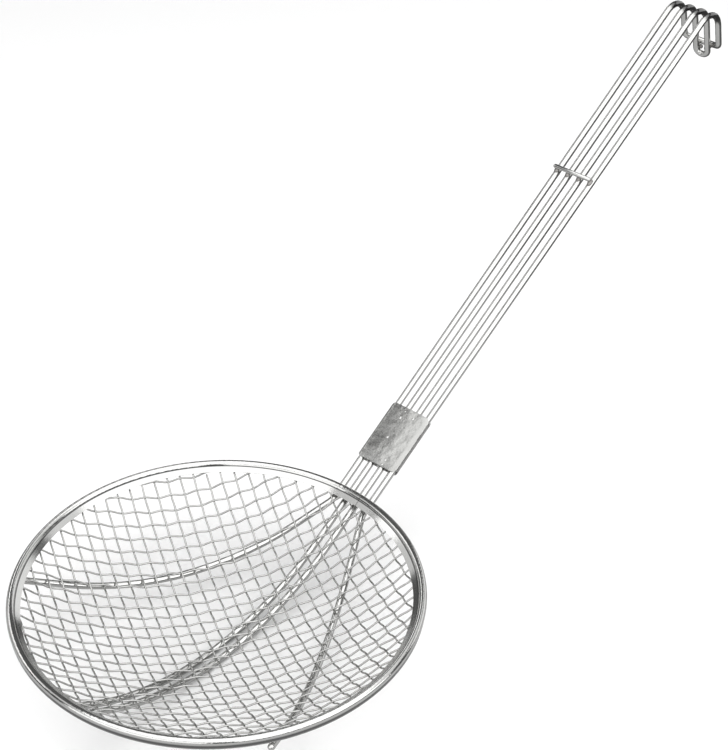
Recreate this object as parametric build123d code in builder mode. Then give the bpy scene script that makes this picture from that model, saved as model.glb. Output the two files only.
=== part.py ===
from build123d import *
import os
from math import acos, asin, atan2, ceil, cos, degrees, hypot, radians, sin, sqrt

os.makedirs("parts", exist_ok=True)

# Spider skimmer: a woven wire bowl in a folded rim, carried by two long bent rods.
# Millimetres. The bowl's axis is Z, the handle rises over +X, and the ribs stand on Z = 0.

# Rim
rim_diameter = 200.0          # middle of the rolled bead
bead_diameter = 4.2
rim_sheet = 0.6
leaf_reach = 4.4              # inner leaf, from the middle of the bead towards the axis
skirt_drop = 3.0              # outer leaf, below the middle of the bead
skirt_inset = 0.7             # how far the skirt's foot lies inside the bead's outside
bead_start_angle = 176.0
bead_end_angle = -40.0
seam_angle = -4.0             # butt joint of the rim strip, seen from the axis
seam_gap = 0.3

# Rods
wire_diameter = 3.5
wire_pitch_at_rim = 6.7
wire_pitch_at_hook = 7.6
wire_drop_at_rim = 6.0        # wire centres below the middle of the bead
rib_depth = 40.5              # lowest rib centres below the middle of the bead
rib_spread_angle = 26.5
rib_start_distance = 3.0      # the outer wires turn aside this far inside the bead
rib_bend_radius = 12.0
inner_rib_inset = 5.0         # the inner ribs end inside the middle of the bead
outer_rib_overhang = 3.5      # the outer ribs end past it
handle_length = 349.5         # along the slope, from the rim to the hook's corner

# Hook
hook_bend_radius = 12.5
hook_lean_angle = 13.5        # legs off the vertical, away from the bowl
inner_leg_length = 41.6
outer_leg_length = 32.0
inner_loop_radius = 3.6
outer_corner_radius = 4.0
outer_bow_radius = 5.0
outer_bow_inset = 5.5         # where the bottom of the outer loop is behind the inner legs

# Sleeve and cross bar
sleeve_start = 23.7
sleeve_length = 34.5
sleeve_sheet = 0.7
sleeve_clearance = 0.1
sleeve_seam_gap = 0.6
bar_distance = 218.2
bar_diameter = 2.4
bar_length = 24.6
bar_shift = 1.1
bar_edge = 0.4

# Woven bowl
mesh_wire_diameter = 0.95
warp_pitch = 6.92
weft_pitch = 6.37
warp_angle = 61.5
weft_angle = 146.5
warp_phase_share = 0.585      # of a pitch, from the axis to the first wire
weft_phase_share = 0.06
mesh_edge_angle = 221.0       # the wires end in this direction from the middle of the bead
mesh_edge_clearance = 0.34    # gap between the bead and the wires there
shortest_mesh_length = 20.0
longest_edge_length = 90.0    # shorter wires of a family lie together in one file
weave_gap = 0.1               # between wires where they cross

weld_gap = 0.05

# Worked out from the sizes above
rim_radius = rim_diameter / 2
bead_radius = bead_diameter / 2
wire_radius = wire_diameter / 2
lean = radians(hook_lean_angle)
spread = radians(rib_spread_angle)
rim_height = rib_depth + wire_radius

# The mesh is a part of a sphere, from the ribs' tops to its edge under the bead.
half_weave = (mesh_wire_diameter + weave_gap) / 2
mesh_half_thickness = half_weave + mesh_wire_diameter / 2
mesh_section = mesh_wire_diameter / sqrt(2)
mesh_edge_reach = bead_radius + mesh_edge_clearance + mesh_half_thickness
mesh_edge_radius = rim_radius + mesh_edge_reach * cos(radians(mesh_edge_angle))
mesh_edge_drop = -mesh_edge_reach * sin(radians(mesh_edge_angle))
mesh_to_rib = mesh_half_thickness + weld_gap + wire_radius
mesh_rise = rib_depth - mesh_to_rib - mesh_edge_drop
mesh_radius = (mesh_edge_radius**2 + mesh_rise**2) / (2 * mesh_rise)

# The ribs lie on a sphere under it, and the handle leaves that sphere in a straight line.
rib_radius = mesh_radius + mesh_to_rib
bowl_centre_height = rim_height - rib_depth + rib_radius
handle_to_centre = bowl_centre_height - rim_height + wire_drop_at_rim
rise = atan2(rim_radius, handle_to_centre) - acos(rib_radius / hypot(rim_radius, handle_to_centre))


def on_handle(along, across, above):
    """Point by its distance along the handle's slope, across it and above its wire centres."""
    return Vector(
        rim_radius + along * cos(rise) - above * sin(rise),
        across,
        rim_height - wire_drop_at_rim + along * sin(rise) + above * cos(rise),
    )


def wire_pitch(along):
    return wire_pitch_at_rim + (wire_pitch_at_hook - wire_pitch_at_rim) * along / handle_length


def hook_point(side, drop, across, behind=0):
    """Point on the hook's leaning plane, down from its corner, and behind it."""
    corner = on_handle(handle_length, 0, 0)
    return Vector(
        corner.X + drop * sin(lean) - behind * cos(lean),
        side * across,
        corner.Z - drop * cos(lean) - behind * sin(lean),
    )


def rib_end(start, foot):
    """Far end of a rib's arc: the start mirrored through the rib's lowest point."""
    return Vector(2 * foot.X - start.X, 2 * foot.Y - start.Y, start.Z)


def inner_rib(side):
    """Start of the arc under an inner wire, and the far end of that arc."""
    along = (rib_radius * sin(rise) - rim_radius) / cos(rise)
    start = on_handle(along, side * wire_pitch(along) / 2, 0)
    return start, rib_end(start, Vector(0, start.Y, 0))


def outer_rib(side):
    """Bend of an outer wire at the rim, start of its rib's arc and the arc's far end."""
    along = -rib_start_distance / cos(rise)
    bend = on_handle(along, side * 1.5 * wire_pitch(along), 0)
    heading = Vector(-cos(spread), side * sin(spread), 0)
    to_foot = -bend.X * heading.X - bend.Y * heading.Y
    foot = Vector(bend.X, bend.Y, 0) + heading * to_foot
    arc_radius = sqrt(rib_radius**2 - foot.length**2)
    climb = bowl_centre_height - bend.Z
    distance = hypot(to_foot, climb)
    tangent = sqrt(distance**2 - arc_radius**2)
    slope = atan2(climb, to_foot) - asin(arc_radius / distance)
    start = bend + heading * (tangent * cos(slope)) + Vector(0, 0, tangent * sin(slope))
    return bend, start, rib_end(start, foot)


def run_to_radius(point, direction, end_radius):
    """Length along a rib's last straight that takes it this far from the bowl's axis."""
    flat = Vector(direction.X, direction.Y, 0)
    along = -(point.X * flat.X + point.Y * flat.Y) / flat.length**2
    foot = Vector(point.X, point.Y, 0) + flat * along
    reach = sqrt(end_radius**2 - foot.length**2)
    return along + reach / flat.length


def rod_path(middle_points, radii, ends, end_radius):
    """One bent wire: a rib, a handle wire, the hook's loop and back to the other rib."""
    with BuildLine() as path:
        middle = FilletPolyline(*middle_points, radius=radii)
        for point, far_end, tangent in (
            (middle @ 0, ends[0], -(middle % 0)),
            (middle @ 1, ends[1], middle % 1),
        ):
            arc = TangentArc(point, far_end, tangent=tangent)
            last = arc % 1
            Line(arc @ 1, arc @ 1 + last * run_to_radius(arc @ 1, last, end_radius))
    return path.wire()


def bent_rod(path):
    with BuildPart() as rod:
        with BuildSketch(Plane(origin=path @ 0, z_dir=path % 0)):
            Circle(wire_radius)
        sweep(path=path)
    return rod


# Inner rod: the two middle wires and their ribs, folded into the lower loop of the hook
inner_across = wire_pitch_at_hook / 2
inner_starts = [inner_rib(side) for side in (1, -1)]
inner_points = [
    inner_starts[0][0],
    hook_point(1, 0, inner_across),
    hook_point(1, inner_leg_length, inner_across),
    hook_point(-1, inner_leg_length, inner_across),
    hook_point(-1, 0, inner_across),
    inner_starts[1][0],
]
inner_radii = [hook_bend_radius, inner_loop_radius, inner_loop_radius, hook_bend_radius]
inner_ends = [start[1] for start in inner_starts]
inner_path = rod_path(inner_points, inner_radii, inner_ends, rim_radius - inner_rib_inset)
inner_rod = bent_rod(inner_path)
inner_rod.part.label = "inner_rod"
export_step(inner_rod.part, "parts/inner_rod.step")

# Outer rod: the two outer wires, whose ribs spread under the bowl
outer_across = 1.5 * wire_pitch_at_hook
outer_ribs = [outer_rib(side) for side in (1, -1)]
bow = wire_diameter + weld_gap
outer_points = [
    outer_ribs[0][1],
    outer_ribs[0][0],
    hook_point(1, 0, outer_across),
    hook_point(1, outer_leg_length, outer_across),
    hook_point(1, outer_leg_length, outer_bow_inset, bow),
    hook_point(-1, outer_leg_length, outer_bow_inset, bow),
    hook_point(-1, outer_leg_length, outer_across),
    hook_point(-1, 0, outer_across),
    outer_ribs[1][0],
    outer_ribs[1][1],
]
half_radii = [rib_bend_radius, hook_bend_radius, outer_corner_radius, outer_bow_radius]
outer_radii = half_radii + half_radii[::-1]
outer_ends = [rib[2] for rib in outer_ribs]
outer_path = rod_path(outer_points, outer_radii, outer_ends, rim_radius + outer_rib_overhang)
outer_rod = bent_rod(outer_path)
outer_rod.part.label = "outer_rod"
export_step(outer_rod.part, "parts/outer_rod.step")

# Rim: a strip rolled round a hollow bead, with a leaf inside the mesh and a skirt outside it
bead_middle_radius = bead_radius - rim_sheet / 2
leaf_foot_radius = rim_radius - leaf_reach
mesh_top_radius = mesh_radius - mesh_half_thickness - rim_sheet / 2 - weld_gap
leaf_foot_height = bowl_centre_height - sqrt(mesh_top_radius**2 - leaf_foot_radius**2)
with BuildPart() as rim:
    with BuildSketch(Plane.XZ.rotated((0, 0, seam_angle))):
        with BuildLine():
            bead = CenterArc(
                (rim_radius, rim_height),
                bead_middle_radius,
                bead_start_angle,
                bead_end_angle - bead_start_angle,
            )
            Line((leaf_foot_radius, leaf_foot_height), bead @ 0)
            Line(bead @ 1, (rim_radius + bead_radius - skirt_inset, rim_height - skirt_drop))
        trace(line_width=rim_sheet)
    revolve(axis=Axis.Z, revolution_arc=360 - degrees(seam_gap / rim_radius))
rim.part.label = "rim"
export_step(rim.part, "parts/rim.step")

# Sleeve: sheet wrapped round the four wires near the bowl, its edges meeting underneath
sleeve_inner_width = 3 * wire_pitch(sleeve_start + sleeve_length) + wire_diameter + 2 * sleeve_clearance
sleeve_inner_height = wire_diameter + 2 * sleeve_clearance
sleeve_plane = Plane(
    origin=on_handle(sleeve_start, 0, 0),
    x_dir=(0, 1, 0),
    z_dir=(cos(rise), 0, sin(rise)),
)
with BuildPart() as sleeve:
    with BuildSketch(sleeve_plane):
        SlotOverall(sleeve_inner_width + 2 * sleeve_sheet, sleeve_inner_height + 2 * sleeve_sheet)
        SlotOverall(sleeve_inner_width, sleeve_inner_height, mode=Mode.SUBTRACT)
        with Locations((0, -(sleeve_inner_height + sleeve_sheet) / 2)):
            Rectangle(sleeve_seam_gap, 2 * sleeve_sheet, mode=Mode.SUBTRACT)
    extrude(amount=sleeve_length)
sleeve.part.label = "sleeve"
export_step(sleeve.part, "parts/sleeve.step")

# Cross bar: a short wire welded across the top of the four
bar_above = wire_radius + bar_diameter / 2 + weld_gap
bar_end = on_handle(bar_distance, bar_shift + bar_length / 2, bar_above)
with BuildPart() as cross_bar:
    with BuildSketch(Plane(origin=bar_end, z_dir=(0, -1, 0))):
        Circle(bar_diameter / 2)
    extrude(amount=bar_length)
    chamfer(cross_bar.edges().filter_by(GeomType.CIRCLE), bar_edge)
cross_bar.part.label = "cross_bar"
export_step(cross_bar.part, "parts/cross_bar.step")


def numbered_offsets(pitch, phase_share):
    """A family's parallel wires: each one's number, counted from the axis, and its distance from it."""
    count = ceil(mesh_edge_radius / pitch)
    return [(number, (number + phase_share) * pitch) for number in range(-count, count + 1)]


def bowl_height(x, y):
    return bowl_centre_height - sqrt(mesh_radius**2 - x**2 - y**2)


def weave_point(plane, along, side):
    """Point of a crimped wire, over (1) or under (-1) the middle of the weave."""
    place = plane.from_local_coords((along, 0))
    middle = bowl_height(place.X, place.Y)
    upright = (bowl_centre_height - middle) / mesh_radius
    return (along, middle + side * half_weave / upright)


def crossing_points(plane, half_chord, crossings):
    """Corners of one wire's middle line: its two ends and every crossing between them."""
    points = []
    for (a, side_a), (b, side_b) in zip(crossings, crossings[1:]):
        for end in (-half_chord, half_chord):
            if a <= end < b:
                share = (end - a) / (b - a)
                points.append(weave_point(plane, end, side_a + (side_b - side_a) * share))
        if abs(b) < half_chord:
            points.append(weave_point(plane, b, side_b))
    return sorted(points)


# Woven bowl: two families of crimped wires, each passing over and under the other
warp_offsets = numbered_offsets(warp_pitch, warp_phase_share)
weft_offsets = numbered_offsets(weft_pitch, weft_phase_share)
families = (
    ("warp", warp_angle, warp_offsets, weft_angle, weft_offsets, 1),
    ("weft", weft_angle, weft_offsets, warp_angle, warp_offsets, -1),
)
for family, angle, own_offsets, cross_angle, cross_offsets, first_side in families:
    run = Vector(cos(radians(angle)), sin(radians(angle)), 0)
    across = Vector(-run.Y, run.X, 0)
    cross = Vector(-sin(radians(cross_angle)), cos(radians(cross_angle)), 0)
    edge_wires = []
    for number, offset_here in own_offsets:
        half_chord = sqrt(max(mesh_edge_radius**2 - offset_here**2, 0))
        if 2 * half_chord < shortest_mesh_length:
            continue
        plane = Plane(origin=across * offset_here, x_dir=run, z_dir=run.cross(Vector(0, 0, 1)))
        crossings = []
        for cross_number, cross_offset in cross_offsets:
            along = (cross_offset - offset_here * across.dot(cross)) / run.dot(cross)
            same_side = (number + cross_number) % 2 == 0
            crossings.append((along, first_side if same_side else -first_side))
        crossings.sort()
        with BuildPart() as mesh_wire:
            with BuildSketch(plane):
                with BuildLine():
                    Polyline(*crossing_points(plane, half_chord, crossings))
                trace(line_width=mesh_section)
            extrude(amount=mesh_section / 2, both=True)
        if 2 * half_chord < longest_edge_length:
            edge_wires.append(mesh_wire.part.solid())
        else:
            half = "plus" if number >= 0 else "minus"
            mesh_wire.part.label = f"{family}_wire_{half}_{abs(number):02d}"
            export_step(mesh_wire.part, f"parts/{mesh_wire.part.label}.step")
    short_wires = Compound(children=edge_wires)
    short_wires.label = f"{family}_edge_wires"
    export_step(short_wires, f"parts/{family}_edge_wires.step")
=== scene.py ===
from math import acos, asin, atan2, ceil, cos, hypot, pi, radians, sin, sqrt, tan

import bmesh
import bpy
from bpy.props import FloatProperty, FloatVectorProperty, IntProperty, PointerProperty
from mathutils import Matrix, Quaternion, Vector, noise


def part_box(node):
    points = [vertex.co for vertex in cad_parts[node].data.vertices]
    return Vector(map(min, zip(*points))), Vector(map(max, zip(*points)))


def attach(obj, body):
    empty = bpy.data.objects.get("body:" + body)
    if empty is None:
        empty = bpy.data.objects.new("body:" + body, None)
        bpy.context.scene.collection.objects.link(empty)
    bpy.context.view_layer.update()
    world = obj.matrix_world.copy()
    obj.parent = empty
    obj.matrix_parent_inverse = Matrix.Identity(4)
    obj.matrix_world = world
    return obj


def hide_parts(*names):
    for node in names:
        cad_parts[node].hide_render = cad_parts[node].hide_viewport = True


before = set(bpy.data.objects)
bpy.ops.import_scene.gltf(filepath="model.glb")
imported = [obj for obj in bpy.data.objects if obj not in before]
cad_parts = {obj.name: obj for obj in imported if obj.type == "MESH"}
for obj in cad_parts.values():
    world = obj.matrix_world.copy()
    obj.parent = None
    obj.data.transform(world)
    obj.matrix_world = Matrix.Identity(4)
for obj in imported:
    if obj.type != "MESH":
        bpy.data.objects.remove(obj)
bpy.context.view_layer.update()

bl_info = {
    "name": "Spider skimmer",
    "version": (1, 0, 0),
    "blender": (4, 5, 0),
    "location": "View3D > Sidebar > Skimmer",
    "description": "Dresses the skimmer's solids: woven bowl, rim, bent rods, sleeve and welds",
    "category": "Object",
}

RIM_LOW, RIM_HIGH = (Vector(corner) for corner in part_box("rim"))
UP = Vector((0, 0, 1))

# The handle's four wires, in their pitch from its middle
INNER_ROW, OUTER_ROW = 0.5, 1.5


def length(name, default, description):
    return FloatProperty(
        name=name, description=description, default=default, unit="LENGTH", precision=5
    )


def angle(name, default, description):
    return FloatProperty(
        name=name, description=description, default=radians(default), subtype="ANGLE"
    )


def share(name, default, description):
    return FloatProperty(
        name=name, description=description, default=default, min=0, max=1, subtype="FACTOR"
    )


def brightness(name, default, description):
    return FloatProperty(name=name, description=description, default=default, min=0)


def count(name, default, least, most, description):
    return IntProperty(name=name, description=description, default=default, min=least, max=most)


def colour(name, default, description):
    return FloatVectorProperty(
        name=name, description=description, default=default, size=3, min=0, max=1, subtype="COLOR"
    )


class SkimmerRim(bpy.types.PropertyGroup):
    bead_diameter: length("Bead", 0.0042, "Outside of the rolled bead")


class SkimmerWeave(bpy.types.PropertyGroup):
    wire_diameter: length("Wire", 0.00095, "Round wire of the bowl")
    play: length("Play", 0.00002, "Gap between two wires where they cross")
    warp_pitch: length("Warp pitch", 0.00692, "From one warp wire to the next")
    weft_pitch: length("Weft pitch", 0.00637, "From one weft wire to the next")
    warp_angle: angle("Warp angle", 61.5, "Run of the warp wires, from the handle's direction")
    weft_angle: angle("Weft angle", 146.5, "Run of the weft wires, from the handle's direction")
    warp_phase: share("Warp phase", 0.585, "Share of a pitch from the axis to the first warp wire")
    weft_phase: share("Weft phase", 0.06, "Share of a pitch from the axis to the first weft wire")
    edge_angle: angle("Edge", 221, "Direction from the middle of the bead to the wires' ends")
    edge_clearance: length("Edge clearance", 0.00034, "Gap between the bead and the wires there")
    solid_weave: length("Solids' weave", 0.00105, "Height of the solids' weave, between centres")
    shortest: length("Shortest wire", 0.020, "No shorter wire is woven in")
    edge_length: length("Edge wires", 0.090, "Shorter wires lie together in one node")
    sides: count("Sides", 8, 6, 24, "Faces around a mesh wire")
    steps: count("Steps", 6, 3, 16, "Rings from one crossing to the next")


class SkimmerRods(bpy.types.PropertyGroup):
    diameter: length("Wire", 0.0035, "Wire of the handle and ribs")
    pitch_at_rim: length("Pitch at rim", 0.0067, "Wire to wire at the rim")
    pitch_at_hook: length("Pitch at hook", 0.0076, "Wire to wire at the hook")
    drop_at_rim: length("Drop", 0.006, "Wire centres below the middle of the bead")
    rib_depth: length("Rib depth", 0.0405, "Lowest rib centres below the middle of the bead")
    rib_spread: angle("Rib spread", 26.5, "Outer ribs turn aside by this angle")
    rib_start: length("Rib start", 0.003, "Outer wires turn aside this far inside the bead")
    rib_bend: length("Rib bend", 0.012, "Radius of that turn")
    inner_inset: length("Inner inset", 0.005, "Inner ribs end inside the middle of the bead")
    outer_overhang: length("Outer overhang", 0.0035, "Outer ribs end past it")
    handle_length: length("Handle", 0.3495, "Along the slope, from the rim to the hook's corner")
    hook_bend: length("Hook bend", 0.0125, "Radius of the bend into the hook's legs")
    hook_lean: angle("Hook lean", 13.5, "Legs off the vertical, away from the bowl")
    inner_leg: length("Inner leg", 0.0416, "Leg of the inner loop")
    outer_leg: length("Outer leg", 0.0320, "Leg of the outer loop")
    inner_loop: length("Inner loop", 0.0036, "Corner radius of the inner loop")
    outer_corner: length("Outer corner", 0.0040, "Corner radius of the outer loop")
    outer_bow: length("Outer bow", 0.0050, "Radius where the outer loop passes behind")
    bow_inset: length("Bow inset", 0.0055, "Where the outer loop's bottom is behind the inner legs")
    bow_gap: length("Bow gap", 0.00005, "Between the outer loop and the inner legs")
    bow_drop: length("Bow drop", 0.0035, "The outer loop's bottom hangs this far below its legs")
    sides: count("Sides", 24, 8, 48, "Faces around a rod")
    bend_step: angle("Bend step", 4, "Turn from one ring to the next in a bend")


class SkimmerFittings(bpy.types.PropertyGroup):
    sleeve_start: length("Sleeve start", 0.0237, "Along the slope, from the rim")
    sleeve_length: length("Sleeve length", 0.0345, "Along the slope")
    sleeve_sheet: length("Sleeve sheet", 0.0007, "Thickness of the sleeve")
    sleeve_clearance: length("Clearance", 0.0001, "Between the sleeve and the wires")
    sleeve_corner: length("Sleeve corner", 0.0032, "How far the sleeve's corners are rounded back")
    sleeve_crown: length("Sleeve crown", 0.0004, "How far the sleeve's faces bulge")
    sleeve_seam: length("Sleeve seam", 0.0006, "Gap between the sleeve's edges underneath")
    press_mark: length("Press mark", 0.0008, "Radius of a press mark on the sleeve")
    bar_distance: length("Bar distance", 0.2182, "Cross bar along the slope, from the rim")
    bar_diameter: length("Bar", 0.0024, "Wire of the cross bar")
    bar_length: length("Bar length", 0.0246, "Across the handle")
    bar_shift: length("Bar shift", 0.0011, "The bar's middle lies this far to the left")
    bar_gap: length("Bar gap", 0.00005, "Between the bar and the wires")
    weld: length("Weld", 0.0013, "Radius of a spot weld at the cross bar")
    rim_weld: length("Rim weld", 0.0011, "Radius of a weld under the rim")
    hook_weld: length("Hook weld", 0.0015, "Radius of a weld in the hook")


class SkimmerFinish(bpy.types.PropertyGroup):
    rod_colour: colour("Rods", (0.62, 0.62, 0.61), "Polished wire")
    rod_gloss: share("Rod roughness", 0.11, "Roughness of the polished wire")
    rim_colour: colour("Rim", (0.62, 0.62, 0.61), "Rolled strip")
    rim_gloss: share("Rim roughness", 0.12, "Roughness of the rolled strip")
    sleeve_colour: colour("Sleeve", (0.42, 0.42, 0.41), "Satin sheet")
    sleeve_gloss: share("Sleeve roughness", 0.25, "Roughness of the satin sheet")
    # painted shade: the rim's crease and the outside under its bead
    rim_shade_colour: colour("Crease", (0.16, 0.16, 0.16), "The rim's crease, and under its bead")
    # painted shade on the rods' bends over the hook
    bend_shade_colour: colour("Bend", (0.17, 0.17, 0.17), "Wire marked by the tool, over the hook")
    mesh_colour: colour("Mesh", (0.50, 0.50, 0.49), "Drawn mesh wire")
    mesh_gloss: share("Mesh roughness", 0.14, "Roughness of the mesh wire")
    weld_colour: colour("Welds", (0.30, 0.29, 0.28), "Metal tinted by the weld's heat")
    floor_colour: colour("Floor", (0.98, 0.98, 0.98), "Pale studio floor")
    # painted reflection: the floor as the metal mirrors it, darker than the floor itself
    mirrored_floor_colour: colour("Reflected floor", (0.50, 0.50, 0.50), "The floor as the wires mirror it")
    beyond_colour: colour("Floor beyond", (0.08, 0.08, 0.08), "The mirrored floor past the handle")


class SkimmerStage(bpy.types.PropertyGroup):
    camera: FloatVectorProperty(
        name="Camera", description="Where the camera stands",
        default=(-0.5122, -0.5217, 0.6989), unit="LENGTH",
    )
    aim: FloatVectorProperty(
        name="Aim", description="Point in the middle of the picture",
        default=(0.1093, 0, 0.1127), unit="LENGTH",
    )
    floor_radius: length("Floor", 1.5, "Radius of the round floor")
    # painted reflection: the mirrored floor darkens past the handle
    dark_from: length("Dark from", 0.35, "Mirrored floor darkens from here, along the handle")
    dark_to: length("Dark to", 0.41, "Mirrored floor is dark from here on")
    roll: angle("Roll", -0.576, "The camera's top tips to the right by this angle")
    lens: FloatProperty(name="Lens", description="Focal length in millimetres", default=96, min=10)
    top: brightness("Top light", 1.7, "Brightness of the light overhead")
    far: brightness("Far light", 0.85, "Brightness overhead, beyond the hook")
    side: brightness("Side light", 1.9, "Brightness of the light at the right")
    front: brightness("Front light", 1.5, "Brightness of the light by the camera")
    back: brightness("Back light", 1.0, "Brightness of the light beyond the hook")
    corner: brightness("Corner light", 0.7, "Brightness of the light over the far left")
    strip: brightness("Strip light", 1.8, "Brightness of the narrow light at the left")
    room: share("Room", 0.11, "Brightness of the room around the lights")
    backdrop: share("Backdrop", 0.93, "Brightness of what is seen behind the floor")


# The skimmer's measures, worked out as for its solids

def rim_size():
    """Radius and height of the middle of the bead."""
    bead = settings().rim.bead_diameter / 2
    return (RIM_HIGH.x - RIM_LOW.x) / 2 - bead, RIM_HIGH.z - bead


class Settings:
    """The scene's groups of sizes, finishes and stage values."""

    def __init__(self, scene):
        self.rim = scene.skimmer_rim
        self.weave = scene.skimmer_weave
        self.rods = scene.skimmer_rods
        self.fittings = scene.skimmer_fittings
        self.finish = scene.skimmer_finish
        self.stage = scene.skimmer_stage


def settings():
    return Settings(bpy.context.scene)


class Bowl:
    """Spheres of the mesh and of the ribs under it."""

    def __init__(self):
        rim, weave, rods = settings().rim, settings().weave, settings().rods
        self.rim_radius, self.rim_height = rim_size()
        half_thickness = weave.solid_weave / 2 + weave.wire_diameter / 2
        reach = rim.bead_diameter / 2 + weave.edge_clearance + half_thickness
        self.edge_radius = self.rim_radius + reach * cos(weave.edge_angle)
        edge_drop = -reach * sin(weave.edge_angle)
        mesh_to_rib = half_thickness + rods.bow_gap + rods.diameter / 2
        mesh_rise = rods.rib_depth - mesh_to_rib - edge_drop
        self.mesh_radius = (self.edge_radius**2 + mesh_rise**2) / (2 * mesh_rise)
        self.rib_radius = self.mesh_radius + mesh_to_rib
        self.centre_height = self.rim_height - rods.rib_depth + self.rib_radius
        drop = self.centre_height - self.rim_height + rods.drop_at_rim
        touch = acos(self.rib_radius / hypot(self.rim_radius, drop))
        self.rise = atan2(self.rim_radius, drop) - touch

    def height(self, x, y):
        return self.centre_height - sqrt(self.mesh_radius**2 - x**2 - y**2)

    def on_handle(self, along, across, above):
        """Point by its distance along the handle's slope, across it and above its wire centres."""
        start = self.rim_height - settings().rods.drop_at_rim
        return Vector((
            self.rim_radius + along * cos(self.rise) - above * sin(self.rise),
            across,
            start + along * sin(self.rise) + above * cos(self.rise),
        ))

    def wire_pitch(self, along):
        rods = settings().rods
        spread = (rods.pitch_at_hook - rods.pitch_at_rim) * along / rods.handle_length
        return rods.pitch_at_rim + spread

    def hook_point(self, side, drop, across, behind=0):
        """Point on the hook's leaning plane, down from its corner, and behind it."""
        rods = settings().rods
        corner = self.on_handle(rods.handle_length, 0, 0)
        return Vector((
            corner.x + drop * sin(rods.hook_lean) - behind * cos(rods.hook_lean),
            side * across,
            corner.z - drop * cos(rods.hook_lean) - behind * sin(rods.hook_lean),
        ))


# Making and finishing pieces

def new_piece(name, bm, material, nodes=()):
    """Object from a bmesh: smooth, riding on the body, with its finish and what it stands for."""
    bmesh.ops.recalc_face_normals(bm, faces=bm.faces)
    for face in bm.faces:
        face.smooth = True
    mesh = bpy.data.meshes.new(name)
    bm.to_mesh(mesh)
    bm.free()
    mesh.materials.append(material)
    piece = bpy.data.objects.new(name, mesh)
    bpy.context.scene.collection.objects.link(piece)
    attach(piece, "root")
    if nodes:
        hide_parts(*nodes)
    return piece


def domed_rings(stations, radius, dome_rings):
    """Place, direction and relative size of a wire's rings, with a domed tip at both ends."""
    (start, inward), (end, outward) = stations[0], stations[-1]
    dome = [pi / 2 * ring / (dome_rings + 1) for ring in range(1, dome_rings + 1)]
    rings = [(start + inward * radius * (1 - cos(turn)), inward, sin(turn)) for turn in dome]
    rings.append((start + inward * radius, inward, 1.0))
    rings += [(spot, heading, 1.0) for spot, heading in stations[1:-1]]
    rings.append((end - outward * radius, outward, 1.0))
    for turn in reversed(dome):
        rings.append((end - outward * radius * (1 - cos(turn)), outward, sin(turn)))
    return rings


def sweep_wire(bm, stations, radius, sides, dome_rings):
    """Round wire along (place, direction) stations, with its length along it on each vertex."""
    drawn = bm.verts.layers.float_vector.get("drawn") or bm.verts.layers.float_vector.new("drawn")
    rings = domed_rings(stations, radius, dome_rings)
    spot, heading, size = rings[0]
    stand = heading.to_track_quat("Z", "Y").to_matrix().to_4x4()
    made = bmesh.ops.create_circle(
        bm, cap_ends=False, segments=sides, radius=radius, matrix=Matrix.Translation(spot) @ stand
    )["verts"]
    around = [(vert, (vert.co - spot).normalized()) for vert in made]
    for k, (vert, out) in enumerate(around):
        vert[drawn] = (cos(2 * pi * k / sides) * radius, sin(2 * pi * k / sides) * radius, 0)
    edges = list({edge for vert in made for edge in vert.link_edges})
    bmesh.ops.scale(bm, vec=(size,) * 3, space=Matrix.Translation(-spot), verts=made)
    first_edges = edges
    travelled = 0
    for next_spot, next_heading, next_size in rings[1:]:
        grown = bmesh.ops.extrude_edge_only(bm, edges=edges)["geom"]
        verts = [item for item in grown if isinstance(item, bmesh.types.BMVert)]
        edges = [item for item in grown if isinstance(item, bmesh.types.BMEdge)]
        turn = heading.rotation_difference(next_heading).to_matrix().to_4x4()
        growth = (next_size / size,) * 3
        bmesh.ops.scale(bm, vec=growth, space=Matrix.Translation(-spot), verts=verts)
        bmesh.ops.rotate(bm, cent=spot, matrix=turn, verts=verts)
        bmesh.ops.translate(bm, vec=next_spot - spot, verts=verts)
        travelled += (next_spot - spot).length
        for vert in verts:
            vert[drawn] = (vert[drawn].x, vert[drawn].y, travelled)
        spot, heading, size = next_spot, next_heading, next_size
    bmesh.ops.edgeloop_fill(bm, edges=first_edges)
    bmesh.ops.edgeloop_fill(bm, edges=edges)


def bent_path(points, radii, bend_step):
    """Stations of a line through the points, with a round bend at each one between the ends."""
    stations = [(points[0], (points[1] - points[0]).normalized())]
    for before, corner, after, radius in zip(points, points[1:], points[2:], radii):
        arriving = (corner - before).normalized()
        leaving = (after - corner).normalized()
        bend = arriving.angle(leaving)
        axis = arriving.cross(leaving).normalized()
        start = corner - arriving * radius * tan(bend / 2)
        centre = start + axis.cross(arriving) * radius
        steps = ceil(bend / bend_step)
        for step in range(steps + 1):
            turn = Quaternion(axis, bend * step / steps)
            stations.append((centre + turn @ (start - centre), turn @ arriving))
    stations.append((points[-1], (points[-1] - points[-2]).normalized()))
    return stations


# Finishes

SMOOTHEST, ROUGHEST = 0.75, 1.3  # shares of a steel's roughness
GRAIN_LOW, GRAIN_HIGH = 0.3, 0.7  # most of the grain's noise lies between these
STAINS_PER_METRE = 90.0
GRAIN_HEIGHT = 0.0001

# Painted shade on the rim, under the outside of its bead and in the crease inside it: outwards and
# up from the middle of its bead, the reach that is fully dark and the reach that has faded, all in
# radii of the bead
RIM_SHADE_BANDS = ((1.0, -0.75, 0.28, 0.8), (-1.0, 0.15, 0.08, 0.22))

# Painted shade on the rods' bends over the hook, the same two reaches from the corner over the hook
BEND_SHADES = (0.0105, 0.0165)


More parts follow.
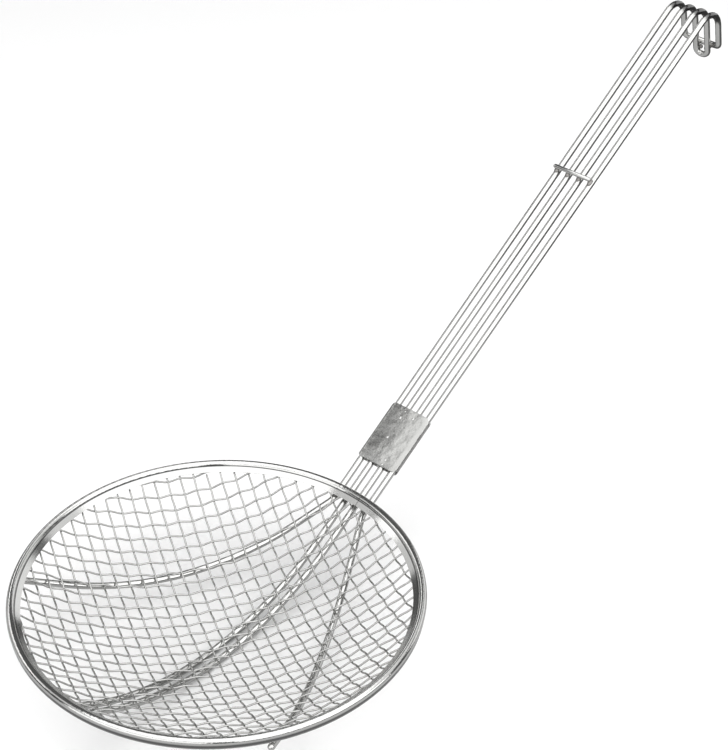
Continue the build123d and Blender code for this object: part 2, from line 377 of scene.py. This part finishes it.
def steel(name, tint, roughness, coordinates, grain, bump, blotch=0.08, waves=0):
    """Steel whose roughness, tone and relief vary with a grain along the given coordinates.

    Blotch is the share by which its stains change the tone, and waves is how much higher
    they stand in the relief than the grain does.
    """
    material = bpy.data.materials.new(name)
    material.use_nodes = True
    nodes, links = material.node_tree.nodes, material.node_tree.links
    shader = nodes["Principled BSDF"]
    shader.inputs["Metallic"].default_value = 1.0
    source = coordinates(nodes, links)

    mapping = nodes.new("ShaderNodeMapping")
    mapping.inputs["Scale"].default_value = grain
    links.new(source, mapping.inputs["Vector"])
    lines = nodes.new("ShaderNodeTexNoise")
    lines.inputs["Scale"].default_value = 1.0
    lines.inputs["Detail"].default_value = 5.0
    lines.inputs["Roughness"].default_value = 0.6
    links.new(mapping.outputs["Vector"], lines.inputs["Vector"])

    gloss = nodes.new("ShaderNodeMapRange")
    gloss.inputs["From Min"].default_value = GRAIN_LOW
    gloss.inputs["From Max"].default_value = GRAIN_HIGH
    gloss.inputs["To Min"].default_value = roughness * SMOOTHEST
    gloss.inputs["To Max"].default_value = roughness * ROUGHEST
    links.new(lines.outputs["Fac"], gloss.inputs["Value"])
    links.new(gloss.outputs["Result"], shader.inputs["Roughness"])

    place = nodes.new("ShaderNodeTexCoord")
    stain = nodes.new("ShaderNodeTexNoise")
    stain.inputs["Scale"].default_value = STAINS_PER_METRE
    stain.inputs["Detail"].default_value = 3.0
    links.new(place.outputs["Object"], stain.inputs["Vector"])
    tone = nodes.new("ShaderNodeMix")
    tone.data_type = "RGBA"
    tone.inputs["A"].default_value = (*[channel * (1 - blotch) for channel in tint], 1)
    tone.inputs["B"].default_value = (*[min(channel * (1 + blotch), 1) for channel in tint], 1)
    links.new(stain.outputs["Fac"], tone.inputs["Factor"])
    links.new(tone.outputs["Result"], shader.inputs["Base Color"])

    height = nodes.new("ShaderNodeMath")
    height.operation = "MULTIPLY_ADD"
    height.inputs[1].default_value = waves
    links.new(stain.outputs["Fac"], height.inputs[0])
    links.new(lines.outputs["Fac"], height.inputs[2])
    relief = nodes.new("ShaderNodeBump")
    relief.inputs["Strength"].default_value = bump
    relief.inputs["Distance"].default_value = GRAIN_HEIGHT
    links.new(height.outputs["Value"], relief.inputs["Height"])
    links.new(relief.outputs["Normal"], shader.inputs["Normal"])
    return material


def on_object(nodes, links):
    """Coordinates of the object itself."""
    return nodes.new("ShaderNodeTexCoord").outputs["Object"]


def along_wire(nodes, links):
    """Coordinates that run along a drawn wire, kept on its vertices."""
    attribute = nodes.new("ShaderNodeAttribute")
    attribute.attribute_name = "drawn"
    return attribute.outputs["Vector"]


def round_rim(nodes, links):
    """Distance from the bowl's axis and height, so that a grain runs round the rim."""
    place = nodes.new("ShaderNodeTexCoord")
    parts = nodes.new("ShaderNodeSeparateXYZ")
    links.new(place.outputs["Object"], parts.inputs["Vector"])
    flat = nodes.new("ShaderNodeCombineXYZ")
    links.new(parts.outputs["X"], flat.inputs["X"])
    links.new(parts.outputs["Y"], flat.inputs["Y"])
    reach = nodes.new("ShaderNodeVectorMath")
    reach.operation = "LENGTH"
    links.new(flat.outputs["Vector"], reach.inputs[0])
    joined = nodes.new("ShaderNodeCombineXYZ")
    links.new(reach.outputs["Value"], joined.inputs["X"])
    links.new(parts.outputs["Z"], joined.inputs["Y"])
    return joined.outputs["Vector"]


def side_view(nodes, links):
    """Place along the handle and height, whatever the side."""
    place = nodes.new("ShaderNodeTexCoord")
    parts = nodes.new("ShaderNodeSeparateXYZ")
    links.new(place.outputs["Object"], parts.inputs["Vector"])
    joined = nodes.new("ShaderNodeCombineXYZ")
    links.new(parts.outputs["X"], joined.inputs["X"])
    links.new(parts.outputs["Z"], joined.inputs["Y"])
    return joined.outputs["Vector"]


def paint_shade(material, coordinates, paint, spots):
    """Paint shade into a steel's colour around places: fully dark within the first reach, fading to
    the second.
    """
    nodes, links = material.node_tree.nodes, material.node_tree.links
    shader = nodes["Principled BSDF"]
    tone = shader.inputs["Base Color"].links[0].from_socket
    where = coordinates(nodes, links)
    for place, full, faded in spots:
        distance = nodes.new("ShaderNodeVectorMath")
        distance.operation = "DISTANCE"
        distance.inputs[1].default_value = place
        links.new(where, distance.inputs[0])
        fade = nodes.new("ShaderNodeMapRange")
        fade.interpolation_type = "SMOOTHSTEP"
        fade.inputs["From Min"].default_value = faded
        fade.inputs["From Max"].default_value = full
        links.new(distance.outputs["Value"], fade.inputs["Value"])
        shaded = nodes.new("ShaderNodeMix")
        shaded.data_type = "RGBA"
        links.new(fade.outputs["Result"], shaded.inputs["Factor"])
        links.new(tone, shaded.inputs["A"])
        shaded.inputs["B"].default_value = (*paint, 1)
        tone = shaded.outputs["Result"]
    links.new(tone, shader.inputs["Base Color"])


def finishes():
    """The steels of the skimmer, made once."""
    finish = settings().finish
    wire = {"coordinates": along_wire, "bump": 0.10}
    spot = {"coordinates": on_object, "grain": (2500, 2500, 2500)}
    rod = {**wire, "tint": finish.rod_colour, "roughness": finish.rod_gloss}
    recipes = {
        "polished_rod": {**rod, "grain": (3000, 3000, 8)},
        "polished_bar": {**rod, "grain": (3000, 3000, 20)},
        "rolled_rim": {
            "tint": finish.rim_colour, "roughness": finish.rim_gloss, "coordinates": round_rim,
            "grain": (4000, 4000, 1), "bump": 0.12, "waves": 0.5,
        },
        "satin_sleeve": {
            "tint": finish.sleeve_colour, "roughness": finish.sleeve_gloss,
            "coordinates": on_object, "grain": (900, 5000, 900),
            "bump": 0.30, "blotch": 0.25, "waves": 26,
        },
        "drawn_mesh": {
            **wire, "tint": finish.mesh_colour, "roughness": finish.mesh_gloss,
            "grain": (4000, 4000, 60), "blotch": 0.10,
        },
        "heat_tinted_weld": {
            **spot, "tint": finish.weld_colour, "roughness": 0.38, "bump": 0.60, "blotch": 0.20,
        },
        "bright_press_mark": {
            **spot, "tint": finish.rim_colour, "roughness": 0.16, "bump": 0.20, "blotch": 0.05,
        },
    }
    if "rolled_rim" not in bpy.data.materials:
        for name, recipe in recipes.items():
            steel(name, **recipe)
        radius, height = rim_size()
        bead = settings().rim.bead_diameter / 2
        # painted shade on the rim, under the outside of its bead and in its crease
        rim_shades = [
            ((radius + out * bead, height + up * bead, 0), full * bead, faded * bead)
            for out, up, full, faded in RIM_SHADE_BANDS
        ]
        paint_shade(bpy.data.materials["rolled_rim"], round_rim, finish.rim_shade_colour, rim_shades)
        # painted shade on the rods, round their bends over the hook
        corner = Bowl().hook_point(1, 0, 0)
        marks = [((corner.x, corner.z, 0), *BEND_SHADES)]
        paint_shade(bpy.data.materials["polished_rod"], side_view, finish.bend_shade_colour, marks)
    return bpy.data.materials


# Operators, one for each group of pieces

class SKIMMER_OT_woven_bowl(bpy.types.Operator):
    """Weave the bowl from round crimped wires, each in the place of its solid"""
    bl_idname = "skimmer.woven_bowl"
    bl_label = "Woven bowl"

    def wires(self, pitch, phase):
        """Numbers of one family's wires, counted from the axis, and their distances from it."""
        most = ceil(self.bowl.edge_radius / pitch)
        return [(number, (number + phase) * pitch) for number in range(-most, most + 1)]

    def crossings(self, wire, run, across, others, cross, first_side):
        """Places along a wire where the others cross it, and its side at each."""
        number, offset = wire
        found = []
        for other_number, other_offset in others:
            along = (other_offset - offset * across.dot(cross)) / run.dot(cross)
            same_side = (number + other_number) % 2 == 0
            found.append((along, first_side if same_side else -first_side))
        return sorted(found)

    def wire_stations(self, run, across, offset, crossings):
        """Centre line of one wire, from crossing to crossing and cut at the bowl's edge."""
        weave, bowl = settings().weave, self.bowl
        half_chord = sqrt(bowl.edge_radius**2 - offset**2)
        half_weave = (weave.wire_diameter + weave.play) / 2
        places = []
        for (start, side_before), (end, side_after) in zip(crossings, crossings[1:]):
            for step in range(weave.steps):
                part = step / weave.steps
                along = start + (end - start) * part
                if abs(along) > half_chord:
                    continue
                swing = side_before + (side_after - side_before) * (1 - cos(pi * part)) / 2
                flat = across * offset + run * along
                middle = bowl.height(flat.x, flat.y)
                upright = (bowl.centre_height - middle) / bowl.mesh_radius
                places.append(Vector((flat.x, flat.y, middle + swing * half_weave / upright)))
        stations = []
        for here, before, after in zip(places, [places[0]] + places, places[1:] + [places[-1]]):
            stations.append((here, (after - before).normalized()))
        return stations

    def weave_family(self, family, wires, run_angle, others, cross_angle, first_side):
        """One family's wires: each long one is a piece, and the short ones are one together."""
        weave = settings().weave
        mesh_steel = finishes()["drawn_mesh"]
        radius = weave.wire_diameter / 2
        run = Vector((cos(run_angle), sin(run_angle), 0))
        across = Vector((-run.y, run.x, 0))
        cross = Vector((-sin(cross_angle), cos(cross_angle), 0))
        edge_wires = bmesh.new()
        for number, offset in wires:
            chord = 2 * sqrt(max(self.bowl.edge_radius**2 - offset**2, 0))
            if chord < weave.shortest:
                continue
            crossings = self.crossings((number, offset), run, across, others, cross, first_side)
            stations = self.wire_stations(run, across, offset, crossings)
            if chord < weave.edge_length:
                sweep_wire(edge_wires, stations, radius, weave.sides, dome_rings=1)
                continue
            wire = bmesh.new()
            sweep_wire(wire, stations, radius, weave.sides, dome_rings=1)
            half = "plus" if number >= 0 else "minus"
            name = f"{family}_wire_{half}_{abs(number):02d}"
            new_piece(f"crimped_{name}", wire, mesh_steel, [name])
        name = f"{family}_edge_wires"
        new_piece(f"crimped_{family}_edges", edge_wires, mesh_steel, [name])

    def execute(self, context):
        weave = settings().weave
        self.bowl = Bowl()
        warp = self.wires(weave.warp_pitch, weave.warp_phase)
        weft = self.wires(weave.weft_pitch, weave.weft_phase)
        self.weave_family("warp", warp, weave.warp_angle, weft, weave.weft_angle, 1)
        self.weave_family("weft", weft, weave.weft_angle, warp, weave.warp_angle, -1)
        return {"FINISHED"}


class SKIMMER_OT_rods(bpy.types.Operator):
    """Bend the two long rods: ribs, handle wires and hook loops, with rounded ends"""
    bl_idname = "skimmer.rods"
    bl_label = "Rods"

    def inner_points(self, bowl, rods):
        """Corners of the inner rod on one side, from its rib's end to the hook."""
        radius = bowl.rim_radius - rods.inner_inset
        along = (bowl.rib_radius * sin(bowl.rise) - bowl.rim_radius) / cos(bowl.rise)
        across = INNER_ROW * bowl.wire_pitch(along)
        under = bowl.on_handle(-bowl.rim_radius / cos(bowl.rise), across, 0)
        reach = sqrt(radius**2 - across**2)
        return Vector((-reach, across, under.z + reach * tan(bowl.rise))), under

    def outer_points(self, bowl, rods):
        """Rib's end, the corner under the bowl, the turn at the rim and the rib's radius."""
        along = -rods.rib_start / cos(bowl.rise)
        turn = bowl.on_handle(along, OUTER_ROW * bowl.wire_pitch(along), 0)
        heading = Vector((-cos(rods.rib_spread), sin(rods.rib_spread), 0))
        to_foot = -turn.x * heading.x - turn.y * heading.y
        foot = Vector((turn.x, turn.y, 0)) + heading * to_foot
        arc_radius = sqrt(bowl.rib_radius**2 - foot.length**2)
        climb = bowl.centre_height - turn.z
        slope = tan(atan2(climb, to_foot) - asin(arc_radius / hypot(to_foot, climb)))
        under = turn + (heading + UP * slope) * to_foot
        reach = sqrt((bowl.rim_radius + rods.outer_overhang) ** 2 - foot.length**2)
        return under + (heading - UP * slope) * reach, under, turn, arc_radius

    def execute(self, context):
        rods = settings().rods
        bowl = Bowl()
        steel_rod = finishes()["polished_rod"]
        across = INNER_ROW * rods.pitch_at_hook
        end, under = self.inner_points(bowl, rods)
        half = [
            end,
            under,
            bowl.hook_point(1, 0, across),
            bowl.hook_point(1, rods.inner_leg, across),
        ]
        half_radii = [bowl.rib_radius, rods.hook_bend, rods.inner_loop]
        self.bend("bent_inner_rod", "inner_rod", half, half_radii, steel_rod)

        across = OUTER_ROW * rods.pitch_at_hook
        bow = -rods.diameter - rods.bow_gap
        end, under, turn, arc_radius = self.outer_points(bowl, rods)
        half = [
            end,
            under,
            turn,
            bowl.hook_point(1, 0, across),
            bowl.hook_point(1, rods.outer_leg, across),
            bowl.hook_point(1, rods.outer_leg + rods.bow_drop, rods.bow_inset, bow),
        ]
        half_radii = [arc_radius, rods.rib_bend, rods.hook_bend, rods.outer_corner, rods.outer_bow]
        self.bend("bent_outer_rod", "outer_rod", half, half_radii, steel_rod)
        return {"FINISHED"}

    def bend(self, name, node, half, half_radii, material):
        """One rod from the corners of its left half and their mirror image."""
        rods = settings().rods
        other = [Vector((point.x, -point.y, point.z)) for point in reversed(half)]
        stations = bent_path(half + other, half_radii + half_radii[::-1], rods.bend_step)
        rod = bmesh.new()
        sweep_wire(rod, stations, rods.diameter / 2, rods.sides, dome_rings=4)
        new_piece(name, rod, material, [node])


class SKIMMER_OT_rim(bpy.types.Operator):
    """Give the rolled rim its finish, with painted shade under its bead and in its crease"""
    bl_idname = "skimmer.rim"
    bl_label = "Rim"

    def execute(self, context):
        dress("rim", finishes()["rolled_rim"])
        return {"FINISHED"}


SLEEVE_SIDES = 32  # faces around its two round long edges
SLEEVE_COLUMNS = 8  # cuts across each flat face
SLEEVE_ROWS = 12
RIM_END_CORNER = 0.7  # corners towards the rim, as a share of the others
SLEEVE_EDGE = 0.0002  # edges broken by this much
NO_WIDTH = 0.00001

# Press marks: along the slope from the rim, across it to the left, and their relative size
PRESS_MARKS = (
    (0.0516, 0.0029, 1.0), (0.0541, -0.0039, 1.0), (0.0558, 0.0024, 0.6),
    (0.0392, 0.0027, 1.0), (0.0277, -0.0041, 0.9), (0.0248, -0.0040, 0.8),
)
PRESS_MARK_RISE = 0.18  # height of a mark, as a share of its radius


class SKIMMER_OT_sleeve(bpy.types.Operator):
    """Wrap the satin sheet round the four wires, with rounded corners and press marks"""
    bl_idname = "skimmer.sleeve"
    bl_label = "Sleeve"

    def tube(self, fittings, flat, height):
        """Flattened tube standing on its end towards the rim, and its rows of vertices."""
        sleeve = bmesh.new()
        stand = Matrix.Rotation(pi / 2, 4, "Z")
        ring = bmesh.ops.create_circle(
            sleeve, segments=SLEEVE_SIDES, radius=height / 2, matrix=stand
        )["verts"]
        left = [vert for vert in ring if vert.co.x > NO_WIDTH]
        right = [vert for vert in ring if vert.co.x < -NO_WIDTH]
        bmesh.ops.translate(sleeve, vec=(flat, 0, 0), verts=left)
        bmesh.ops.translate(sleeve, vec=(-flat, 0, 0), verts=right)
        long_edges = [edge for edge in sleeve.edges if edge.calc_length() > flat / 2]
        bmesh.ops.subdivide_edges(sleeve, edges=long_edges, cuts=SLEEVE_COLUMNS)
        for vert in sleeve.verts:
            rest = max(1 - (vert.co.x / flat) ** 2, 0)
            vert.co.y += fittings.sleeve_crown * rest * (1 if vert.co.y > 0 else -1)
        edges = list(sleeve.edges)
        rows = [list(sleeve.verts)]
        step = Vector((0, 0, fittings.sleeve_length / SLEEVE_ROWS))
        for _ in range(SLEEVE_ROWS):
            grown = bmesh.ops.extrude_edge_only(sleeve, edges=edges)["geom"]
            row = [item for item in grown if isinstance(item, bmesh.types.BMVert)]
            edges = [item for item in grown if isinstance(item, bmesh.types.BMEdge)]
            bmesh.ops.translate(sleeve, vec=step, verts=row)
            rows.append(row)
        return sleeve, rows

    def round_corners(self, rows, width, corner):
        """Draw both ends of the tube back towards their corners."""
        for row, back in ((rows[-1], -corner), (rows[0], corner * RIM_END_CORNER)):
            for vert in row:
                side = max(abs(vert.co.x) - (width / 2 - corner), 0) / corner
                vert.co.z += back * (1 - sqrt(max(1 - side**2, 0)))

    def open_seam(self, sleeve, gap):
        """Cut the gap between the sheet's edges, underneath."""
        for side in (-1, 1):
            bmesh.ops.bisect_plane(
                sleeve,
                geom=[*sleeve.verts, *sleeve.edges, *sleeve.faces],
                plane_co=(side * gap / 2, 0, 0),
                plane_no=(1, 0, 0),
            )
        middles = [(face, face.calc_center_median()) for face in sleeve.faces]
        seam = [face for face, middle in middles if abs(middle.x) < gap / 2 and middle.y < 0]
        bmesh.ops.delete(sleeve, geom=seam, context="FACES")

    def shell(self, bowl, fittings, rods):
        """Outside of the sleeve along the slope, open at its ends and seam, and its top."""
        wrap = fittings.sleeve_clearance + fittings.sleeve_sheet
        height = rods.diameter + 2 * wrap
        end = fittings.sleeve_start + fittings.sleeve_length
        width = 2 * OUTER_ROW * bowl.wire_pitch(end) + rods.diameter + 2 * wrap
        sleeve, rows = self.tube(fittings, width / 2 - height / 2, height)
        self.round_corners(rows, width, fittings.sleeve_corner)
        self.open_seam(sleeve, fittings.sleeve_seam)
        slope = Matrix((
            (0, -sin(bowl.rise), cos(bowl.rise)),
            (1, 0, 0),
            (0, cos(bowl.rise), sin(bowl.rise)),
        )).to_4x4()
        start = Matrix.Translation(bowl.on_handle(fittings.sleeve_start, 0, 0))
        bmesh.ops.transform(sleeve, matrix=start @ slope, verts=sleeve.verts)
        return sleeve, height / 2 + fittings.sleeve_crown

    def press_marks(self, bowl, fittings, rods, top):
        """Small flat domes on top of the sleeve."""
        marks = bmesh.new()
        tilt = Matrix.Rotation(-bowl.rise, 3, "Y")
        for along, across, size in PRESS_MARKS:
            made = bmesh.ops.create_uvsphere(
                marks, u_segments=16, v_segments=8, radius=fittings.press_mark * size
            )["verts"]
            bmesh.ops.scale(marks, vec=(1, 1, PRESS_MARK_RISE), verts=made)
            bmesh.ops.rotate(marks, matrix=tilt, verts=made)
            from_middle = across / (OUTER_ROW * rods.pitch_at_rim)
            surface = top - fittings.sleeve_crown * from_middle**2
            bmesh.ops.translate(marks, vec=bowl.on_handle(along, across, surface), verts=made)
        return marks

    def execute(self, context):
        fittings, rods = settings().fittings, settings().rods
        bowl = Bowl()
        shell, top = self.shell(bowl, fittings, rods)
        satin = finishes()["satin_sleeve"]
        sleeve = new_piece("wrapped_sleeve", shell, satin, ["sleeve"])
        wall = sleeve.modifiers.new("wall", "SOLIDIFY")
        wall.thickness = fittings.sleeve_sheet
        wall.offset = -1
        edge = sleeve.modifiers.new("edge", "BEVEL")
        edge.width = SLEEVE_EDGE
        edge.segments = 2
        edge.limit_method = "ANGLE"
        edge.angle_limit = radians(50)
        marks = self.press_marks(bowl, fittings, rods, top)
        new_piece("sleeve_press_marks", marks, finishes()["bright_press_mark"])
        return {"FINISHED"}


class SKIMMER_OT_cross_bar(bpy.types.Operator):
    """Lay the cross bar over the four wires"""
    bl_idname = "skimmer.cross_bar"
    bl_label = "Cross bar"

    def execute(self, context):
        fittings, rods = settings().fittings, settings().rods
        bowl = Bowl()
        above = rods.diameter / 2 + fittings.bar_diameter / 2 + fittings.bar_gap
        half = fittings.bar_length / 2
        ends = (fittings.bar_shift + half, fittings.bar_shift - half)
        left, right = (bowl.on_handle(fittings.bar_distance, end, above) for end in ends)
        bar = bmesh.new()
        along = (right - left).normalized()
        stations = [(left, along), (right, along)]
        sweep_wire(bar, stations, fittings.bar_diameter / 2, rods.sides, dome_rings=4)
        polished = finishes()["polished_bar"]
        new_piece("round_cross_bar", bar, polished, ["cross_bar"])
        return {"FINISHED"}


# Shape of each weld: along the handle, across it and upwards, in its radius
BAR_WELD = (1.75, 1.1, 0.62)
RIM_WELD = (1.2, 1.25, 1.15)
MEETING_WELD = (1.0, 1.25, 1.2)
LOW_WELD = (1.0, 1.3, 1.1)
WELD_UNEVENNESS = 0.18
WELD_LUMPS = 1.3
LUMPS_APART = 7.3  # from one weld to the next, so that no two are alike

# Places of the welds, in the weld's radius unless another unit is named
BAR_WELD_BACK = 0.8  # from the bar's middle towards the bowl
RIM_WELD_RISE = 0.55  # above the top of the wire
RIM_WELD_ALONG = 0.0006  # metres along the slope, from the rim
LOW_WELD_DROP = 1.8  # below the outer loop's bottom
LOW_WELD_INSET = 0.35  # share of the bow's inset
LOW_WELD_SIZE = 0.8  # against the hook's other welds


class SKIMMER_OT_welds(bpy.types.Operator):
    """Put the small heat-tinted welds where wires meet"""
    bl_idname = "skimmer.welds"
    bl_label = "Welds"

    def bead(self, bm, place, radius, stretch, turn, seed):
        """One uneven drop of weld metal."""
        made = bmesh.ops.create_icosphere(bm, subdivisions=2, radius=radius)["verts"]
        for vert in made:
            spot = vert.co / radius * WELD_LUMPS + Vector((seed * LUMPS_APART, seed, 0))
            vert.co *= 1 + WELD_UNEVENNESS * noise.noise(spot)
        bmesh.ops.scale(bm, vec=stretch, verts=made)
        bmesh.ops.rotate(bm, matrix=Matrix.Rotation(turn, 3, "Y"), verts=made)
        bmesh.ops.translate(bm, vec=place, verts=made)

    def execute(self, context):
        fittings, rods = settings().fittings, settings().rods
        bowl = Bowl()
        tinted = finishes()["heat_tinted_weld"]
        groups = {"bar_welds": [], "rim_welds": [], "hook_welds": []}
        beside_bar = fittings.bar_distance - fittings.weld * BAR_WELD_BACK
        under_rim = rods.diameter / 2 + fittings.rim_weld * RIM_WELD_RISE
        for row in (-OUTER_ROW, -INNER_ROW, INNER_ROW, OUTER_ROW):
            across = row * bowl.wire_pitch(fittings.bar_distance)
            contact = bowl.on_handle(beside_bar, across, rods.diameter / 2)
            groups["bar_welds"].append((contact, fittings.weld, BAR_WELD, -bowl.rise))
            below = bowl.on_handle(RIM_WELD_ALONG, row * bowl.wire_pitch(0), under_rim)
            groups["rim_welds"].append((below, fittings.rim_weld, RIM_WELD, 0))
        size = fittings.hook_weld
        between = (-rods.diameter - rods.bow_gap) / 2
        drop = rods.outer_leg + rods.bow_drop
        low_drop = drop + size * LOW_WELD_DROP
        for side in (-1, 1):
            meet = bowl.hook_point(side, drop, INNER_ROW * rods.pitch_at_hook, between)
            low = bowl.hook_point(side, low_drop, rods.bow_inset * LOW_WELD_INSET, between)
            groups["hook_welds"].append((meet, size, MEETING_WELD, rods.hook_lean))
            groups["hook_welds"].append((low, size * LOW_WELD_SIZE, LOW_WELD, rods.hook_lean))
        for name, spots in groups.items():
            drops = bmesh.new()
            for seed, (place, radius, stretch, turn) in enumerate(spots):
                self.bead(drops, place, radius, stretch, turn, seed + len(name))
            new_piece(name, drops, tinted)
        return {"FINISHED"}


def dress(node, material):
    """Put a finish on a node of the frame."""
    for slot in bpy.data.objects[node].material_slots:
        slot.material = material


FLOOR_SIDES = 96
FLOOR_ROUGHNESS = 0.7

# Soft lights: name, place, the point that each faces, width, depth and its brightness
SOFT_LIGHTS = (
    ("top_light", (-0.25, -0.40, 1.5), (-0.25, -0.40, 0), 2.5, 2.4, "top"),
    ("far_light", (1.45, -0.40, 1.5), (1.45, -0.40, 0), 0.9, 2.4, "far"),
    ("corner_light", (-1.0, 1.25, 1.5), (-1.0, 1.25, 0), 1.2, 0.8, "corner"),
    ("side_light", (0.1, -1.7, 0.95), (0.1, 0, 0.4), 3.0, 0.95, "side"),
    ("front_light", (-1.8, -0.1, 0.75), (0, 0, 0.3), 2.6, 1.3, "front"),
    ("back_light", (2.0, -0.35, 0.6), (0, -0.35, 0.4), 1.6, 1.1, "back"),
    ("wall_light", (-0.45, 1.7, 0.6), (-0.45, 0, 0.3), 1.1, 0.75, "corner"),
    ("strip_light", (0.1, 1.7, 1.2), (0.1, 0, 0.1), 3.0, 0.35, "strip"),
)


class SKIMMER_OT_stage(bpy.types.Operator):
    """Set the pale floor, the soft lights, the room and the camera"""
    bl_idname = "skimmer.stage"
    bl_label = "Stage"

    def soft_light(self, name, place, aim, width, depth, glow):
        """Flat light whose face looks as bright from everywhere."""
        lamp = bpy.data.lights.new(name, "AREA")
        lamp.shape = "RECTANGLE"
        lamp.size = width
        lamp.size_y = depth
        lamp.energy = glow * pi * width * depth
        holder = bpy.data.objects.new(name, lamp)
        holder.location = place
        holder.visible_camera = False
        holder.rotation_euler = (Vector(aim) - Vector(place)).to_track_quat("-Z", "Y").to_euler()
        bpy.context.scene.collection.objects.link(holder)

    def floor_paint(self, stage, finish):
        """Pale paint to the camera, with a painted darker reflection of itself in the metal: grey,
        and dark past the handle.
        """
        material = bpy.data.materials.new("floor_paint")
        material.use_nodes = True
        nodes, links = material.node_tree.nodes, material.node_tree.links
        shader = nodes["Principled BSDF"]
        shader.inputs["Roughness"].default_value = FLOOR_ROUGHNESS
        ray = nodes.new("ShaderNodeLightPath")
        tone = nodes.new("ShaderNodeMix")
        tone.data_type = "RGBA"
        tone.inputs["A"].default_value = (*finish.floor_colour, 1)
        links.new(ray.outputs["Is Glossy Ray"], tone.inputs["Factor"])
        place = nodes.new("ShaderNodeTexCoord")
        parts = nodes.new("ShaderNodeSeparateXYZ")
        links.new(place.outputs["Object"], parts.inputs["Vector"])
        past = nodes.new("ShaderNodeMapRange")
        past.inputs["From Min"].default_value = stage.dark_from
        past.inputs["From Max"].default_value = stage.dark_to
        links.new(parts.outputs["X"], past.inputs["Value"])
        mirrored = nodes.new("ShaderNodeMix")
        mirrored.data_type = "RGBA"
        mirrored.inputs["A"].default_value = (*finish.mirrored_floor_colour, 1)
        mirrored.inputs["B"].default_value = (*finish.beyond_colour, 1)
        links.new(past.outputs["Result"], mirrored.inputs["Factor"])
        links.new(mirrored.outputs["Result"], tone.inputs["B"])
        links.new(tone.outputs["Result"], shader.inputs["Base Color"])
        return material

    def lay_floor(self, scene, stage, finish):
        """Round floor that the skimmer stands on."""
        floor = bmesh.new()
        bmesh.ops.create_circle(
            floor, cap_ends=True, segments=FLOOR_SIDES, radius=stage.floor_radius
        )
        mesh = bpy.data.meshes.new("floor")
        floor.to_mesh(mesh)
        floor.free()
        mesh.materials.append(self.floor_paint(stage, finish))
        ground = bpy.data.objects.new("floor", mesh)
        scene.collection.objects.link(ground)

    def light_room(self, scene, stage):
        """Room that is dim round the lights and bright where the camera sees it."""
        world = bpy.data.worlds.new("studio_room")
        world.use_nodes = True
        nodes, links = world.node_tree.nodes, world.node_tree.links
        seen = nodes.new("ShaderNodeLightPath")
        strength = nodes.new("ShaderNodeMapRange")
        strength.inputs["To Min"].default_value = stage.room
        strength.inputs["To Max"].default_value = stage.backdrop
        links.new(seen.outputs["Is Camera Ray"], strength.inputs["Value"])
        nodes["Background"].inputs["Color"].default_value = (1, 1, 1, 1)
        links.new(strength.outputs["Result"], nodes["Background"].inputs["Strength"])
        scene.world = world

    def place_camera(self, scene, stage):
        """Camera at its place, facing its aim, with its top tipped to the right."""
        lens = bpy.data.cameras.new("camera")
        lens.lens = stage.lens
        lens.sensor_width = 36
        lens.clip_start = 0.01
        lens.clip_end = 20
        viewer = bpy.data.objects.new("camera", lens)
        place = Vector(stage.camera)
        forward = (Vector(stage.aim) - place).normalized()
        level_right = forward.cross(UP).normalized()
        level_up = level_right.cross(forward)
        top = level_up * cos(stage.roll) + level_right * sin(stage.roll)
        right = forward.cross(top)
        turn = Matrix((right, top, -forward)).transposed().to_4x4()
        viewer.matrix_world = Matrix.Translation(place) @ turn
        scene.collection.objects.link(viewer)
        scene.camera = viewer

    def execute(self, context):
        stage, finish = settings().stage, settings().finish
        scene = context.scene
        scene.view_settings.view_transform = "Standard"
        self.lay_floor(scene, stage, finish)
        for name, place, aim, width, depth, source in SOFT_LIGHTS:
            self.soft_light(name, place, aim, width, depth, getattr(stage, source))
        self.light_room(scene, stage)
        self.place_camera(scene, stage)
        return {"FINISHED"}


class SKIMMER_PT_panel(bpy.types.Panel):
    """The skimmer's operators and values"""
    bl_idname = "SKIMMER_PT_panel"
    bl_label = "Spider skimmer"
    bl_space_type = "VIEW_3D"
    bl_region_type = "UI"
    bl_category = "Skimmer"

    def draw(self, context):
        for group in GROUPS:
            box = self.layout.box()
            values = getattr(context.scene, group)
            for name in values.bl_rna.properties.keys():
                if name not in ("rna_type", "name"):
                    box.prop(values, name)
        for operator in OPERATORS:
            self.layout.operator(operator.bl_idname)


GROUPS = {
    "skimmer_rim": SkimmerRim,
    "skimmer_weave": SkimmerWeave,
    "skimmer_rods": SkimmerRods,
    "skimmer_fittings": SkimmerFittings,
    "skimmer_finish": SkimmerFinish,
    "skimmer_stage": SkimmerStage,
}
OPERATORS = (
    SKIMMER_OT_stage,
    SKIMMER_OT_woven_bowl,
    SKIMMER_OT_rods,
    SKIMMER_OT_rim,
    SKIMMER_OT_sleeve,
    SKIMMER_OT_cross_bar,
    SKIMMER_OT_welds,
)


def register():
    for group, kind in GROUPS.items():
        bpy.utils.register_class(kind)
        setattr(bpy.types.Scene, group, PointerProperty(type=kind))
    for kind in (*OPERATORS, SKIMMER_PT_panel):
        bpy.utils.register_class(kind)


def unregister():
    for kind in (SKIMMER_PT_panel, *reversed(OPERATORS)):
        bpy.utils.unregister_class(kind)
    for group, kind in GROUPS.items():
        delattr(bpy.types.Scene, group)
        bpy.utils.unregister_class(kind)


def main():
    register()
    bpy.ops.skimmer.stage()
    bpy.ops.skimmer.woven_bowl()
    bpy.ops.skimmer.rods()
    bpy.ops.skimmer.rim()
    bpy.ops.skimmer.sleeve()
    bpy.ops.skimmer.cross_bar()
    bpy.ops.skimmer.welds()


if __name__ == "__main__":
    main()
